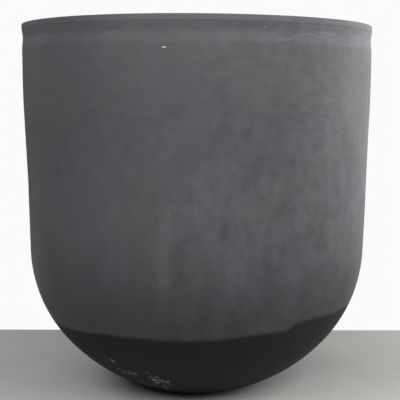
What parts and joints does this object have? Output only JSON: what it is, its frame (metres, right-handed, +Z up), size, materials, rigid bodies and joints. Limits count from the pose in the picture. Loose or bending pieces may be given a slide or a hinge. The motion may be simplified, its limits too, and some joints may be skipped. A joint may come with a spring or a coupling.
{
  "type": "foundry crucible",
  "caption": "Deep round-bottomed foundry crucible: a thick dark-grey clay-graphite pot with a low lip, a shallow neck groove, a faint waist and a small flat foot.",
  "frame": {"origin": "centre of the flat foot, on the floor", "axes": "+Z up along the crucible's axis and out of its mouth; the pot is round about +Z, so +X and +Y are alike"},
  "size_m": [0.7799, 0.78, 0.814],
  "materials": {
    "clay_graphite": "dull dark-grey pressed clay-graphite with a thin worn glaze, darker and sootier round the bottom"
  },
  "bodies": {
    "root": {"crucible": "clay_graphite"}
  },
  "joints": []
}
